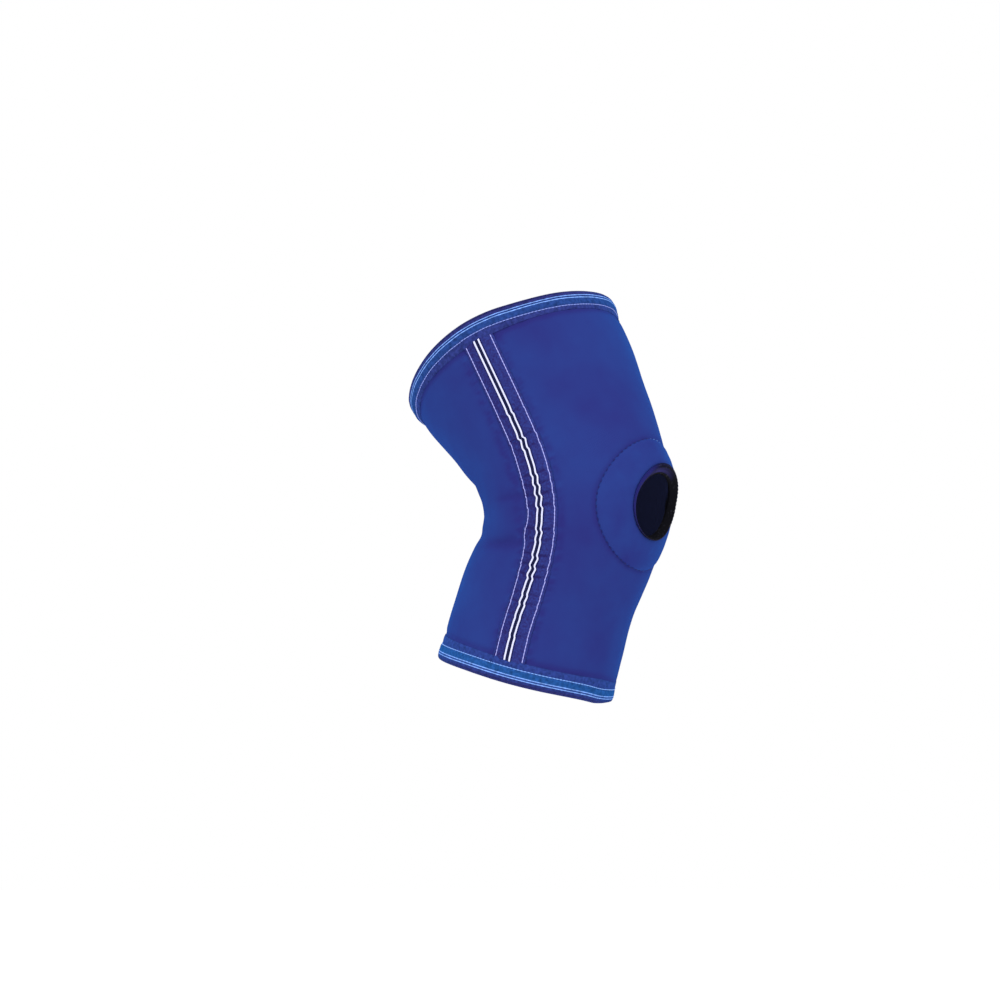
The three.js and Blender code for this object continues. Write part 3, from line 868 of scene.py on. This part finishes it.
# %% The shell's relief
STITCH_BACK, STITCH_FRONT = 8.8 * MM, -10.1 * MM
SHELL_END, SHELL_CELL, SHELL_GIRTH = 3 * MM, 1.7 * MM, 0.41
VALLEY_DEPTH, GROOVE_DEPTH, PUCKER = 0.65 * MM, 0.75 * MM, 0.16 * MM
# Where the lower tape has slipped or the upper one is slack, the valley beside it is shallower
FLATTER_BY_SLIP, FLATTER_AT_BACK = 0.35 / MM, 0.5
DARKEST_FOLD = max(fold["shade"] for fold in FOLDS)


def shell_marks(height, angle):
    """How much a place lies below the rim seams, beside a side strip or in the groove round the pad."""
    smooth = outer_point(height, angle)
    to_thigh_rim = THIGH_LENGTH - height - THIGH_SLIP * at_back(height, angle)
    to_rim = np.minimum(to_thigh_rim, height + SHIN_LENGTH + shin_slip(angle))
    valley = bump(to_rim, RIM_TAPE_WIDTH + 1.2 * MM, 2.2 * MM)
    across = across_strip(height, angle)
    beside = bump(across, STITCH_BACK + 5 * MM, 4 * MM) + bump(across, STITCH_FRONT - 4 * MM, 3 * MM)
    to_pad = np.hypot(smooth[..., 1], smooth[..., 2] - PAD_MIDDLE)
    groove = bump(to_pad, PAD_RADIUS + 0.6 * MM, 1.6 * MM) * (np.abs(angle) < 90)
    return smooth, valley, beside, groove


def shell_relief(height, angle):
    """Rise of the shell's real surface over the smooth one."""
    smooth, valley, beside, groove = shell_marks(height, angle)
    slow = 0.12 * MM * unevenness(smooth, 55 * MM, 4) + 0.06 * MM * unevenness(smooth, 17 * MM, 5)
    pucker = PUCKER * beside * unevenness(smooth * [0.5, 0.5, 1], 7 * MM, 6)
    flatter = np.where(
        height < 0, FLATTER_BY_SLIP * shin_slip(angle), FLATTER_AT_BACK * at_back(height, angle))
    valley = valley * (1 - flatter)
    return slow + pucker + rim_flare(height, angle) - VALLEY_DEPTH * valley - GROOVE_DEPTH * groove


def shell_rule(x, y):
    """Bends the flat shell round to a tube with its relief."""
    angle = -360 * x / SHELL_GIRTH
    return raised(y, angle, shell_relief(y, angle))


def shell_shade(x, y):
    """How much less light the cloth gets, from its folds, valleys, puckers and grooves."""
    angle = -360 * x / SHELL_GIRTH
    smooth, valley, beside, groove = shell_marks(y, angle)
    creased = fold_depth(y, angle, "shade") / (DARKEST_FOLD * WALL)
    puckers = beside * (0.25 + 0.25 * unevenness(smooth * [0.4, 0.4, 1], 4 * MM, 7))
    return 0.55 * creased + 0.5 * valley + puckers + 0.4 * groove


print(f"valleys of {VALLEY_DEPTH / MM} mm beside the tapes, groove of {GROOVE_DEPTH / MM} mm at the ring")

# %% Bend the shell and cut its hole
NEAR_HOLE = 40 * MM
shell = cut_cloth(
    (-SHELL_GIRTH / 2, SHELL_GIRTH / 2), (-SHIN_LENGTH + SHELL_END, THIGH_LENGTH - SHELL_END),
    (SHELL_CELL, SHELL_CELL))
shape_cloth(shell, shell_rule, shell_shade)
close_seam(shell)


def hole_distance(vertex):
    """Distance from the middle of the opening, seen from the front, or a metre at the back."""
    return math.hypot(vertex.co.y, vertex.co.z - OPENING_MIDDLE) if vertex.co.x > 0 else 1


inside = [vertex for vertex in shell.verts if hole_distance(vertex) < CUT_RADIUS]
bmesh.ops.delete(shell, geom=inside, context="VERTS")
edge_of_hole = [
    vertex for vertex in shell.verts if vertex.is_boundary and hole_distance(vertex) < NEAR_HOLE]
turns = np.array([math.atan2(v.co.z - OPENING_MIDDLE, v.co.y) for v in edge_of_hole])
for vertex, point in zip(edge_of_hole, ring_point(OPENING_MIDDLE, CUT_RADIUS, turns, 0 * turns)):
    vertex.co = point
bmesh.ops.recalc_face_normals(shell, faces=shell.faces)
sleeve = finish_piece(
    shell, "sleeve_shell", [shell_jersey, lining], "sleeve_body", WALL)

# %% [markdown]
# ## The padded ring
# Round the opening lies a ring of thicker foam under its own jersey panel, which takes the pressure round
# the opening. Its section is a closed line, given by a table with radius and rise in millimetres: over
# the soft crown, down into the seam and back underneath.
# We cut it as a straight band, bend it into a circle and weld its ends, both round and across. The
# panel itself was cut flat, so its UV map is laid again as the plane seen from the front.

# %% Padded ring
PAD_SECTION = named_rows("place radius rise", [
    (0.00, 25.3, 0.3),
    (0.04, 25.3, 1.2),
    (0.12, 27.5, 1.70),
    (0.28, 33.0, 1.95),
    (0.42, 38.5, 1.55),
    (0.49, 41.5, 1.05),
    (0.53, 42.9, 0.30),
    (0.56, 43.4, -0.5),
    (0.60, 42.0, -0.4),
    (1.00, 25.3, 0.3),
])
PAD_ROUND, PAD_ACROSS = 214 * MM, 38 * MM
CROWN_END = 0.53
pad_radius = smooth_column(PAD_SECTION, "radius")
pad_rise = smooth_column(PAD_SECTION, "rise")


def pad_rule(x, y):
    """Bends the band into the ring round the opening."""
    turn = -2 * math.pi * x / PAD_ROUND
    place = y / PAD_ACROSS
    radius, rise = pad_radius(place) * MM, pad_rise(place) * MM
    outwards = np.clip((radius - CUT_RADIUS) / (PAD_RADIUS - CUT_RADIUS), 0, 1)
    middle = OPENING_MIDDLE + (PAD_MIDDLE - OPENING_MIDDLE) * outwards
    flat_ring = np.stack([radius * np.cos(turn), radius * np.sin(turn), 0 * turn], axis=-1)
    soft = 0.22 * MM * unevenness(flat_ring, 26 * MM, 8) + 0.10 * MM * unevenness(flat_ring, 9 * MM, 9)
    crown = np.sin(math.pi * np.clip(place / CROWN_END, 0, 1))
    return ring_point(middle, radius, turn, rise + soft * crown)


ring = cut_cloth((0, PAD_ROUND), (0, PAD_ACROSS), (1.1 * MM, 0.8 * MM))
shape_cloth(ring, pad_rule)
close_seam(ring)
bmesh.ops.recalc_face_normals(ring, faces=ring.faces)
lay_map(ring, "yz")
pad = finish_piece(ring, "padded_ring", [pad_jersey], "knee_ring_pad")

# %% [markdown]
# ## The tape round the opening
# The raw edge of the hole is bound with a black tape. It shows a narrow edge outside, forms the dark
# wall of the opening and runs on some way inside. Its fold line has five lengths: flap, bend, wall,
# bend, flap. The Solidify modifier then gives the one millimetre of cloth.

# %% Black tape round the opening
TAPE = 1 * MM
OPENING_TOP = 2.5 * MM
TAPE_REACH = 25.6 * MM
TAPE_MIDDLE = 24 * MM
OPENING_ROUND = 2 * math.pi * TAPE_MIDDLE
# The tape's inner part lies lower than its outer one, by more at the top
OPENING_DROP, MORE_DROP, DROP_OVER = 2.6 * MM, 0.35, 4 * MM
SOFT_EDGE = 0.25 * MM


def opening_rule(x, y):
    """Folds the tape over the edge of the opening and bends it round."""
    inwards, down = fold_line(OPENING_LENGTHS, OPENING_TURNS, y)
    radius = TAPE_REACH - inwards
    turn = 2 * math.pi * x / OPENING_ROUND
    lowered = OPENING_DROP * (1 + MORE_DROP * np.sin(turn)) * np.clip(inwards / DROP_OVER, 0, 1)
    return ring_point(OPENING_MIDDLE - lowered, radius, turn, OPENING_TOP - down)


roll = cut_cloth((0, OPENING_ROUND), (0, OPENING_FLAT), (1.0 * MM, 0.45 * MM))
shape_cloth(roll, opening_rule)
close_seam(roll)
opening_tape = finish_piece(
    roll, "opening_tape", [black_tape], "opening_binding", TAPE, SOFT_EDGE)

# %% [markdown]
# ## The rim tapes
# Both rims are bound with one elastic tape, folded in half over the edge and sewn through. Two light
# cords in the weave stand up a little, the seam presses a groove, and the tape bulges where the side
# strip runs under it. Both tapes come from one rule, with the sign saying which way is out. The rule has
# two parts: how high along the sleeve a place lies, and how far it stands off the shell.

# %% Where a rim tape lies along the sleeve
RIM_ROUND = 0.43
# The line of the sewn edge passes into the rim's outline over a few millimetres, and the slip of the
# lower tape eases off by a share towards the rim
LINE_FADE, SLIP_FADE, SLIP_EASES = 4 * MM, (4.4 * MM, 0.4 * MM), 0.7
RIM_SIDES = {
    1: (THIGH_LENGTH, smooth_column(RIM_OUTLINE, "top")),
    -1: (SHIN_LENGTH, smooth_column(RIM_OUTLINE, "low")),
}


def rim_height(sign, angle, y, along):
    """Height of a place on the tape, between its sewn edge's line and the rim's outline."""
    length, outline = RIM_SIDES[sign]
    slipped = -THIGH_SLIP * at_back(sign, angle)
    past = slipped + (outline(angle) * MM - slipped) * smooth_step(y, 0, LINE_FADE)
    if sign < 0:
        start, end = (from_rim(distance) for distance in SLIP_FADE)
        past = past + shin_slip(angle) * (1 - SLIP_EASES * smooth_step(y, start, end))
    return sign * (length - RIM_TAPE_WIDTH + along + past)


print(f"{RIM_ROUND / MM:.0f} mm of tape go round each rim")

# %% How far a rim tape stands off the shell
CORD_RISE, STRIP_BULGE, SLACK_BULGE = 0.2 * MM, 0.85 * MM, 1.3 * MM
SEAM_PRESS, EDGE_PRESS, STITCH_PRESS = 1.0 * MM, 0.5 * MM, 0.25 * MM
WAVE, GATHER = 0.12 * MM, 0.16 * MM
# A slack tape is pressed less, by a share, and a slipped one lies flatter, by a share of its slip
PRESSED_LESS, FLATTER_TAPE = 0.35, 0.3
# Where the ends of a side strip start and stop to lift the tape, and where the slack tape bulges
STRIP_FRONT_SIDE, STRIP_BACK_SIDE = (-14 * MM, -11 * MM), (9.5 * MM, 12.5 * MM)
BULGE_PLACE, BULGE_BREADTH = 8.2 * MM, 2.3 * MM
ON_SHELL = 0.2 * MM


def rim_rise(height, angle, y):
    """Rise of the tape's face over the smooth surface, before the fold takes it down."""
    outside = 1 - smooth_step(y, from_rim(2 * MM), from_rim(0))
    sewn_edge = from_rim(RIM_STITCH)
    slack = at_back(height, angle)
    pressed = SEAM_PRESS * (1 - smooth_step(y, sewn_edge - 1.0 * MM, sewn_edge + 1.6 * MM))
    pressed += EDGE_PRESS * bump(y, 0, 1.1 * MM) + STITCH_PRESS * bump(y, sewn_edge, 0.8 * MM)
    pressed *= 1 - PRESSED_LESS * slack
    cords = CORD_RISE * sum(bump(y, from_rim(line), 0.4 * MM) for line in RIM_LINES)
    across = across_strip(height, angle)
    over_strip = smooth_step(across, *STRIP_FRONT_SIDE) * (1 - smooth_step(across, *STRIP_BACK_SIDE))
    over_strip *= STRIP_BULGE * (1 - smooth_step(y, 3 * MM, 9 * MM))
    smooth = outer_point(height, angle)
    wavy = WAVE * unevenness(smooth, 12 * MM, 12)
    gathers = GATHER * unevenness(smooth * [1, 1, 0.2], 3.5 * MM, 13) * (y < sewn_edge)
    bulge = SLACK_BULGE * slack * bump(y, from_rim(BULGE_PLACE), BULGE_BREADTH)
    flat = FLATTER_TAPE * shin_slip(angle) * (height < 0)
    relief = outside * (cords + over_strip + wavy + gathers + bulge - pressed - flat)
    face = -WALL / 2 + RIM_FOLD + rim_flare(height, angle) + relief
    # The face never sinks into the shell, however far it is pressed or slipped
    return face + outside * np.maximum(shell_relief(height, angle) + ON_SHELL - face, 0)


print(f"the seam presses {SEAM_PRESS / MM} mm, the cords stand {CORD_RISE / MM} mm high")

# %% Fold and bend both rim tapes
def rim_rule(sign):
    """Rule that folds a tape over the rim on that side of the bend."""
    def rule(x, y):
        angle = -sign * 360 * x / RIM_ROUND
        along, down = fold_line(RIM_LENGTHS, RIM_TURNS, y)
        height = rim_height(sign, angle, y, along)
        return raised(height, angle, rim_rise(height, angle, y) - down)

    return rule


for name, node, sign, finish in (
        ("upper_rim_tape", "top_binding", 1, thigh_tape),
        ("lower_rim_tape", "bottom_binding", -1, shin_tape)):
    tape = cut_cloth((-RIM_ROUND / 2, RIM_ROUND / 2), (0, RIM_FLAT), (1.4 * MM, 0.6 * MM))
    shape_cloth(tape, rim_rule(sign))
    close_seam(tape)
    piece = finish_piece(tape, name, [finish], node, TAPE, SOFT_EDGE)

# %% [markdown]
# ## Side strips and ribbons
# A strip of jersey covers the side seam, with a white, black and white ribbon along it. The elastic
# ribbon was sewn on stretched, so it gathers the strip in small steps: going down, the lines drift back
# and then jump forward. Each step is one row of a table, and the same shift moves the strip, the ribbon
# and the stitches, so that they stay together.

# %% Jogs of the gathered strips
# Where the strip jumps forward, as a share of the length on that side of the bend, and how far, in
# millimetres
JOGS = [
    (0.452, 0.8), (0.311, 1.6), (0.254, 0.8), (0.122, 1.0), (0.074, 1.25), (0.027, 1.5), (-0.029, 1.3),
    (-0.145, 1.4), (-0.198, 0.7), (-0.279, 1.25), (-0.336, 1.45), (-0.392, 1.25), (-0.495, 0.7),
    (-0.548, 0.9), (-0.625, 0.4), (-0.736, 0.6),
]
# A jump takes a share of the length over which the strip drifts back again
JOG_LENGTH, JOG_JUMP = 2.0 * MM, 0.35
# The strip's back seam also wanders near the bend, in millimetres
BACK_EDGE = named_rows("place wander", [
    (-1.00, 0.0),
    (-0.40, 0.0),
    (-0.25, 0.6),
    (-0.155, 1.8),
    (-0.115, 0.4),
    (-0.06, -0.3),
    (0.00, 0.3),
    (0.09, 0.8),
    (0.17, 0.9),
    (0.35, 0.2),
    (1.00, 0.0),
])
edge_wander = smooth_column(BACK_EDGE, "wander")
SEAMS_HOLD = 0.6


def height_at(place):
    """Height along the sleeve's axis for a share of the length on that side of the bend."""
    return place * np.where(np.asarray(place) < 0, SHIN_LENGTH, THIGH_LENGTH)


def jog_shift(height, across):
    """Sideways shift of the gathered strip, most at the ribbon and least at the seams."""
    shift = np.zeros_like(height)
    for place, jump in JOGS:
        share = (height - height_at(place)) / JOG_LENGTH
        shift += jump / 2 * MM * np.tanh(share / JOG_JUMP) * np.exp(-share ** 2 / 2)
    held = smooth_step(np.abs(across), 2 * MM, 9 * MM)
    back_edge = smooth_step(across, 3 * MM, 8 * MM)
    return shift * (1 - SEAMS_HOLD * held) + edge_wander(place_at(height)) * MM * back_edge


def strip_place(sign, height, across):
    """Height and angle of a place on a side strip."""
    middle = strip_angle(place_at(height))
    shifted = across + jog_shift(height, across)
    return height, sign * (middle + shifted / length_per_degree(height, middle))


print(f"{len(JOGS)} jogs of up to {max(jump for _, jump in JOGS)} mm in each strip")

# %% Face of a side strip
STRIP_WIDTH, STRIP_SHIFT = 22.4 * MM, -0.8 * MM
STRIP_CLOTH, STRIP_TUCK, RIBBON_CLOTH = 0.6 * MM, 1 * MM, 0.5 * MM
STRIP_LOW = -SHIN_LENGTH + RIM_TAPE_WIDTH - STRIP_TUCK
STRIP_HIGH = THIGH_LENGTH - RIM_TAPE_WIDTH + STRIP_TUCK
STRIP_RISE, EDGE_DROP, SEAM_DROP, SEAM_BREADTH = 0.85 * MM, 0.35 * MM, 0.25 * MM, 0.8 * MM
CREASE_DEPTH, CREASE_BREADTH, CREASE_TILT, DEEPEST_CREASE = 0.7 * MM, 0.8 * MM, 0.12, 1.4
RIBBON_RISE, CORD_HEIGHT, CORD_BREADTH = 0.25 * MM, 0.75 * MM, 0.6 * MM


def strip_creases(height, across):
    """Short cross creases where the gathered strip jumps."""
    creases = np.zeros_like(height)
    for place, jump in JOGS:
        tilt = CREASE_TILT * np.abs(across)
        creases += bump(height - tilt, height_at(place) + 0.5 * MM, CREASE_BREADTH) * jump
    return np.minimum(creases, DEEPEST_CREASE) * bump(np.abs(across), 5.5 * MM, 3 * MM)


def strip_top(height, across):
    """Rise of the strip's face over the shell."""
    edge = np.abs(across - STRIP_SHIFT) / (STRIP_WIDTH / 2)
    face = STRIP_RISE - EDGE_DROP * edge ** 4
    sewn = bump(across, STITCH_BACK, SEAM_BREADTH) + bump(across, STITCH_FRONT, SEAM_BREADTH)
    return face - SEAM_DROP * sewn - CREASE_DEPTH * strip_creases(height, across)


def strip_rule(sign):
    """Rule that lays the strip down one side."""
    def rule(x, y):
        across = STRIP_SHIFT - sign * x
        return raised(*strip_place(sign, y, across), strip_top(y, across))

    return rule


def strip_shade(sign):
    """Rule for the light the strip's cloth gets, less in its creases and on its back half."""
    def shade(x, y):
        across = STRIP_SHIFT - sign * x
        place = raised(*strip_place(sign, y, across), 0 * y)
        back_half = smooth_step(across, 0, 2 * MM) * (0.22 + 0.18 * unevenness(place, 2.5 * MM, 10))
        return back_half + 0.5 * strip_creases(y, across)

    return shade


def ribbon_rule(sign):
    """Rule that lays the ribbon along the strip, with its two raised cords."""
    def rule(x, y):
        across = x - RIBBON_WIDTH / 2
        fade = smooth_step(np.minimum(STRIP_HIGH - y, y - STRIP_LOW), 0, 2.5 * MM)
        cords = CORD_HEIGHT * bump(np.abs(across), RIBBON_RIB, CORD_BREADTH) * fade
        rise = strip_top(y, -sign * across) + RIBBON_RISE + cords
        return raised(*strip_place(sign, y, -sign * across), rise)

    return rule


# %% Lay the strips and ribbons down both sides
for side, sign in (("lateral", 1), ("medial", -1)):
    strip = cut_cloth((-STRIP_WIDTH / 2, STRIP_WIDTH / 2), (STRIP_LOW, STRIP_HIGH), (0.8 * MM, 0.5 * MM))
    shape_cloth(strip, strip_rule(sign), strip_shade(sign))
    piece = finish_piece(
        strip, f"{side}_strip", [strip_jersey], f"{side}_stay_strip", STRIP_CLOTH)
    band = cut_cloth((0, RIBBON_WIDTH), (STRIP_LOW, STRIP_HIGH), (0.29 * MM, 0.6 * MM))
    # The finish reads its stripes from the second flat place, so the two change over
    lay_map(band, "yx")
    shape_cloth(band, ribbon_rule(sign))
    finish_piece(
        band, f"{side}_ribbon", [ribbon_weave], f"{side}_stripe_ribbon", RIBBON_CLOTH)

# %% [markdown]
# ## Stitches
# Every seam line shows its thread. A stitch is a small stretched ball laid on the cloth along the seam;
# hundreds of them in one mesh cost little, and they catch light like real thread, which a drawn line
# would not. Where the gap is negative the balls overlap, and the thread runs on like the tight stitching
# of the rims and strips. The ring and the opening have open stitches with gaps.

# %% Sew a line of stitches
# Length, gap and thickness of the stitches
RIM_SEWING = (2.9 * MM, -0.45 * MM, 0.66 * MM)
STRIP_SEWING = (3.2 * MM, -0.8 * MM, 0.72 * MM)
PAD_SEWING = (2.3 * MM, 1.9 * MM, 0.7 * MM)
OPENING_SEWING = (1.9 * MM, 0.7 * MM, 0.4 * MM)
# Places within a stitch, as shares of it, that give its middle and its direction
ALONG_STITCH = np.array([0.45, 0.5, 0.55])


def sew(name, lines, finish, sewing):
    """One piece with separate stitches along lines, each given as points and outward directions."""
    length, gap, thickness = sewing
    ball = bmesh.new()
    bmesh.ops.create_uvsphere(ball, u_segments=6, v_segments=5, radius=0.5)
    pattern = bpy.data.meshes.new("stitch")
    ball.to_mesh(pattern)
    ball.free()
    stitches = bmesh.new()
    for points, normals in lines:
        run = np.concatenate([[0], np.cumsum(np.linalg.norm(np.diff(points, axis=0), axis=1))])
        count = int(run[-1] // (length + gap))
        for k in range(count):
            around = (k + ALONG_STITCH) * run[-1] / count
            before, here, after = (
                Vector([np.interp(place, run, points[:, i]) for i in range(3)]) for place in around)
            up = Vector([np.interp(around[1], run, normals[:, i]) for i in range(3)]).normalized()
            forward = (after - before).normalized()
            side = up.cross(forward).normalized()
            axes = (forward * length, side * thickness, up * thickness)
            rows = [[axis[row] for axis in axes] + [here[row]] for row in range(3)]
            stitch = pattern.copy()
            stitch.transform(Matrix(rows + [[0, 0, 0, 1]]))
            stitches.from_mesh(stitch)
            bpy.data.meshes.remove(stitch)
    return finish_piece(stitches, name, [finish])


def line_on(height, angle, rise):
    """Points and outward directions of a seam line over the surface."""
    return raised(height, angle, rise), outward(height, angle)


# %% Stitches of the rims
LINE_POINTS = 721
ON_TAPE, FROM_INNER_EDGE = 0.1 * MM, 1.2 * MM
all_round = np.linspace(-180, 180, LINE_POINTS)
for name, sign, finish in (
        ("upper_rim_stitches", 1, thigh_thread), ("lower_rim_stitches", -1, shin_thread)):
    sewn = from_rim(RIM_STITCH) + 0 * all_round
    height = rim_height(sign, all_round, sewn, sewn)
    shown = line_on(height, all_round, rim_rise(height, all_round, sewn) + ON_TAPE)
    turned_in = RIM_FLAT - FROM_INNER_EDGE + 0 * all_round
    height = rim_height(sign, all_round, turned_in, RIM_TAPE_WIDTH - RIM_TURN_IN + FROM_INNER_EDGE)
    inside = line_on(height, all_round, rim_rise(height, all_round, turned_in) - 2 * RIM_FOLD)
    sew(name, [shown, inside], finish, RIM_SEWING)

# %% Stitches of the side strips
STRIP_POINTS = 600
down_strip = np.linspace(STRIP_LOW + STRIP_TUCK, STRIP_HIGH - STRIP_TUCK, STRIP_POINTS)
strip_lines = []
for sign in (1, -1):
    for across in (STITCH_BACK, STITCH_FRONT):
        height, angle = strip_place(sign, down_strip, across)
        strip_lines.append(line_on(height, angle, strip_top(height, across + 0 * height)))
sew("strip_stitches", strip_lines, lilac_thread, STRIP_SEWING)

# %% Stitches of the ring and of the opening
SEAM_OUT, SEAM_SUNK, SEAM_ON_TAPE = 0.3 * MM, -0.1 * MM, 0.6 * MM
ring_turns = np.linspace(0, 2 * math.pi, LINE_POINTS)


def circle_place(middle, radius):
    """Heights and angles along a circle seen from the front."""
    return place_from_front(radius * np.cos(ring_turns), middle + radius * np.sin(ring_turns))


pad_line = line_on(*circle_place(PAD_MIDDLE, PAD_RADIUS + SEAM_OUT), SEAM_SUNK + 0 * ring_turns)
sew("pad_stitches", [pad_line], ring_seam_thread_with_painted_glint, PAD_SEWING)
on_tape = opening_rule(OPENING_ROUND * ring_turns / (2 * math.pi), SEAM_ON_TAPE + 0 * ring_turns)
opening_line = (on_tape, outward(*circle_place(OPENING_MIDDLE, CUT_RADIUS)))
sew("opening_stitches", [opening_line], indigo_thread, OPENING_SEWING)
